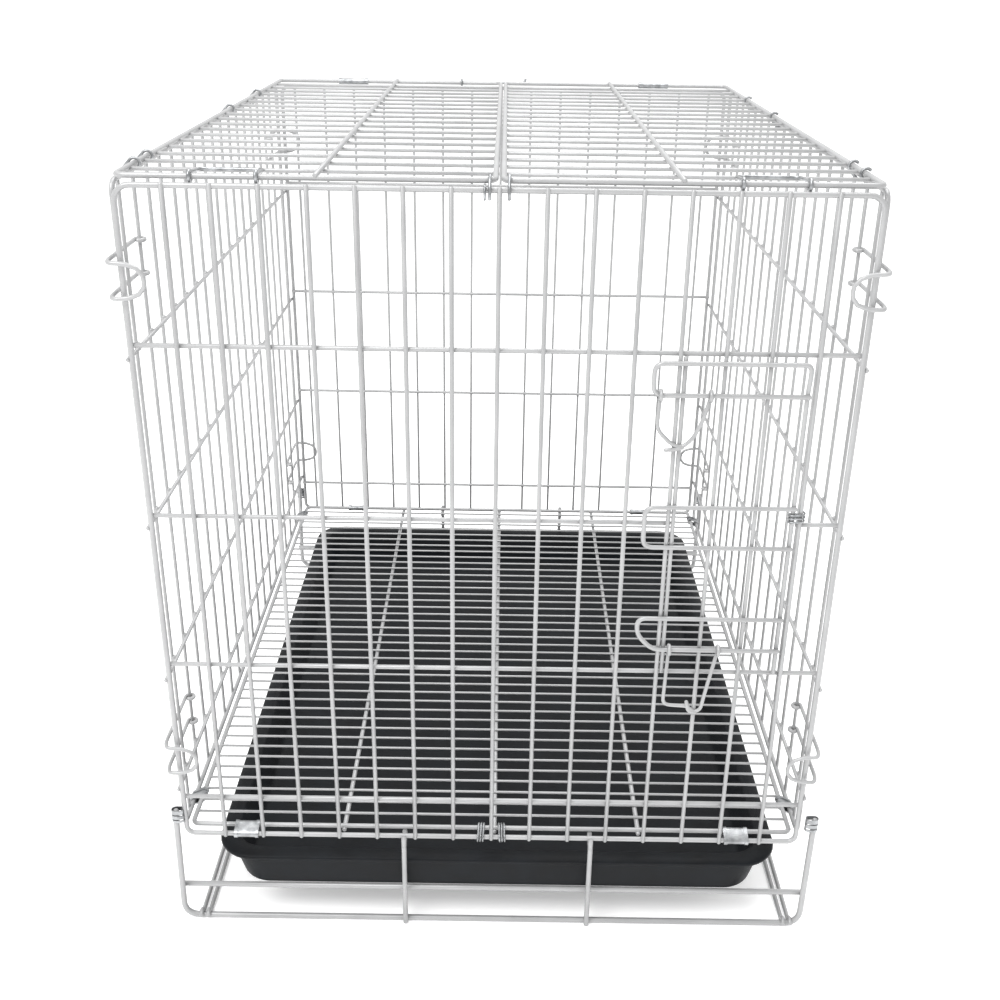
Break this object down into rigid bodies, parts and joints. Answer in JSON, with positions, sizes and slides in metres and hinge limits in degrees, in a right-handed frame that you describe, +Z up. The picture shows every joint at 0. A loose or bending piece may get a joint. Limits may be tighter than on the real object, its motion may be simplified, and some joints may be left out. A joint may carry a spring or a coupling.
{
  "type": "wire dog crate",
  "caption": "Folding wire dog crate with a front door, a two-leaf roof, corner hooks, wire feet and a slide-out floor tray.",
  "frame": {"origin": "on the ground, under the middle of the crate's overall box", "axes": "+Z up, -Y out of the door end, +X towards the door's hinge side"},
  "size_m": [0.6364, 0.7892, 0.7486],
  "materials": {
    "wire_coating": "satin silver-grey coating on steel wire",
    "zinc_wire": "zinc-plated wire and sheet clips",
    "tray_plastic": "black moulded plastic with a fine grain"
  },
  "bodies": {
    "base": {"floor_grid": "wire_coating", "front_foot_frame": "wire_coating", "back_foot_frame": "wire_coating", "foot_rail_left": "wire_coating", "foot_rail_right": "wire_coating", "foot_clip_front_left": "zinc_wire", "foot_clip_front_right": "zinc_wire", "foot_clip_back_left": "zinc_wire", "foot_clip_back_right": "zinc_wire"},
    "tray": {"tray": "tray_plastic"},
    "front_panel": {"front_panel": "wire_coating", "front_hinge_clip_left": "zinc_wire", "front_hinge_clip_right": "zinc_wire", "front_hinge_ring_left": "zinc_wire", "front_hinge_ring_right": "zinc_wire", "tag_ring": "zinc_wire"},
    "back_panel": {"back_panel": "wire_coating", "back_hinge_clip_left": "zinc_wire", "back_hinge_clip_right": "zinc_wire"},
    "door": {"door": "wire_coating", "door_hinge_clip": "zinc_wire"},
    "door_latch_upper": {"door_latch_upper": "wire_coating"},
    "door_latch_lower": {"door_latch_lower": "wire_coating"},
    "side_panel_left": {"side_panel_left": "wire_coating", "side_hinge_clip_left_front": "zinc_wire", "side_hinge_clip_left_back": "zinc_wire"},
    "roof_left": {"roof_left": "wire_coating", "roof_ring_left_1": "zinc_wire", "roof_ring_left_2": "zinc_wire", "roof_ring_left_3": "zinc_wire", "roof_ring_left_4": "zinc_wire", "roof_catch_left": "zinc_wire", "roof_clip_left": "zinc_wire"},
    "roof_hook_left": {"roof_hook_left": "zinc_wire"},
    "corner_hook_front_left_upper": {"corner_hook_front_left_upper": "wire_coating"},
    "corner_hook_front_left_lower": {"corner_hook_front_left_lower": "wire_coating"},
    "corner_hook_back_left_upper": {"corner_hook_back_left_upper": "wire_coating"},
    "corner_hook_back_left_lower": {"corner_hook_back_left_lower": "wire_coating"},
    "side_panel_right": {"side_panel_right": "wire_coating", "side_hinge_clip_right_front": "zinc_wire", "side_hinge_clip_right_back": "zinc_wire"},
    "roof_right": {"roof_right": "wire_coating", "roof_ring_right_1": "zinc_wire", "roof_ring_right_2": "zinc_wire", "roof_ring_right_3": "zinc_wire", "roof_ring_right_4": "zinc_wire", "roof_catch_right": "zinc_wire", "roof_clip_right": "zinc_wire"},
    "roof_hook_right": {"roof_hook_right": "zinc_wire"},
    "corner_hook_front_right_upper": {"corner_hook_front_right_upper": "wire_coating"},
    "corner_hook_front_right_lower": {"corner_hook_front_right_lower": "wire_coating"},
    "corner_hook_back_right_upper": {"corner_hook_back_right_upper": "wire_coating"},
    "corner_hook_back_right_lower": {"corner_hook_back_right_lower": "wire_coating"},
    "roof_latch": {"roof_latch": "zinc_wire"}
  },
  "joints": [
    {"name": "tray_slide", "type": "slide", "parent": "base", "child": "tray", "axis": [1, 0, 0], "range_m": [0, 0.56]},
    {"name": "front_panel_hinge", "type": "hinge", "parent": "base", "child": "front_panel", "pos_m": [0, -0.376, 0.1105], "axis": [-1, 0, 0], "range_deg": [0, 90]},
    {"name": "back_panel_hinge", "type": "hinge", "parent": "base", "child": "back_panel", "pos_m": [0, 0.376, 0.1105], "axis": [-1, 0, 0], "range_deg": [-90, 0]},
    {"name": "door_hinge", "type": "hinge", "parent": "front_panel", "child": "door", "pos_m": [0.2645, -0.3866, 0.4525], "axis": [0, 0, -1], "range_deg": [-110, 0]},
    {"name": "door_latch_upper_swing", "type": "hinge", "parent": "door", "child": "door_latch_upper", "pos_m": [0.1575, -0.3904, 0.5725], "axis": [1, 0, 0], "range_deg": [-90, 0]},
    {"name": "door_latch_lower_swing", "type": "hinge", "parent": "door", "child": "door_latch_lower", "pos_m": [0.18, -0.3904, 0.328], "axis": [1, 0, 0], "range_deg": [-90, 0]},
    {"name": "side_panel_left_hinge", "type": "hinge", "parent": "base", "child": "side_panel_left", "pos_m": [-0.297, 0, 0.1105], "axis": [0, 1, 0], "range_deg": [-90, 0]},
    {"name": "roof_left_hinge", "type": "hinge", "parent": "side_panel_left", "child": "roof_left", "pos_m": [-0.306, 0, 0.7365], "axis": [0, -1, 0], "range_deg": [0, 180]},
    {"name": "roof_hook_left_swing", "type": "hinge", "parent": "roof_left", "child": "roof_hook_left", "pos_m": [-0.215, -0.38, 0.743], "axis": [1, 0, 0], "range_deg": [0, 180]},
    {"name": "corner_hook_front_left_upper_swing", "type": "hinge", "parent": "side_panel_left", "child": "corner_hook_front_left_upper", "pos_m": [-0.3076, -0.305, 0.662], "axis": [0, 0, -1], "range_deg": [0, 100]},
    {"name": "corner_hook_front_left_lower_swing", "type": "hinge", "parent": "side_panel_left", "child": "corner_hook_front_left_lower", "pos_m": [-0.3076, -0.305, 0.198], "axis": [0, 0, -1], "range_deg": [0, 100]},
    {"name": "corner_hook_back_left_upper_swing", "type": "hinge", "parent": "side_panel_left", "child": "corner_hook_back_left_upper", "pos_m": [-0.3076, 0.305, 0.662], "axis": [0, 0, 1], "range_deg": [0, 100]},
    {"name": "corner_hook_back_left_lower_swing", "type": "hinge", "parent": "side_panel_left", "child": "corner_hook_back_left_lower", "pos_m": [-0.3076, 0.305, 0.198], "axis": [0, 0, 1], "range_deg": [0, 100]},
    {"name": "side_panel_right_hinge", "type": "hinge", "parent": "base", "child": "side_panel_right", "pos_m": [0.297, 0, 0.1105], "axis": [0, -1, 0], "range_deg": [-90, 0]},
    {"name": "roof_right_hinge", "type": "hinge", "parent": "side_panel_right", "child": "roof_right", "pos_m": [0.306, 0, 0.7365], "axis": [0, 1, 0], "range_deg": [0, 180]},
    {"name": "roof_hook_right_swing", "type": "hinge", "parent": "roof_right", "child": "roof_hook_right", "pos_m": [0.215, -0.38, 0.743], "axis": [1, 0, 0], "range_deg": [0, 180]},
    {"name": "corner_hook_front_right_upper_swing", "type": "hinge", "parent": "side_panel_right", "child": "corner_hook_front_right_upper", "pos_m": [0.3076, -0.305, 0.662], "axis": [0, 0, 1], "range_deg": [0, 100]},
    {"name": "corner_hook_front_right_lower_swing", "type": "hinge", "parent": "side_panel_right", "child": "corner_hook_front_right_lower", "pos_m": [0.3076, -0.305, 0.198], "axis": [0, 0, 1], "range_deg": [0, 100]},
    {"name": "corner_hook_back_right_upper_swing", "type": "hinge", "parent": "side_panel_right", "child": "corner_hook_back_right_upper", "pos_m": [0.3076, 0.305, 0.662], "axis": [0, 0, -1], "range_deg": [0, 100]},
    {"name": "corner_hook_back_right_lower_swing", "type": "hinge", "parent": "side_panel_right", "child": "corner_hook_back_right_lower", "pos_m": [0.3076, 0.305, 0.198], "axis": [0, 0, -1], "range_deg": [0, 100]},
    {"name": "roof_latch_swing", "type": "hinge", "parent": "roof_left", "child": "roof_latch", "pos_m": [-0.056, 0.38, 0.743], "axis": [1, 0, 0], "range_deg": [0, 100]}
  ]
}
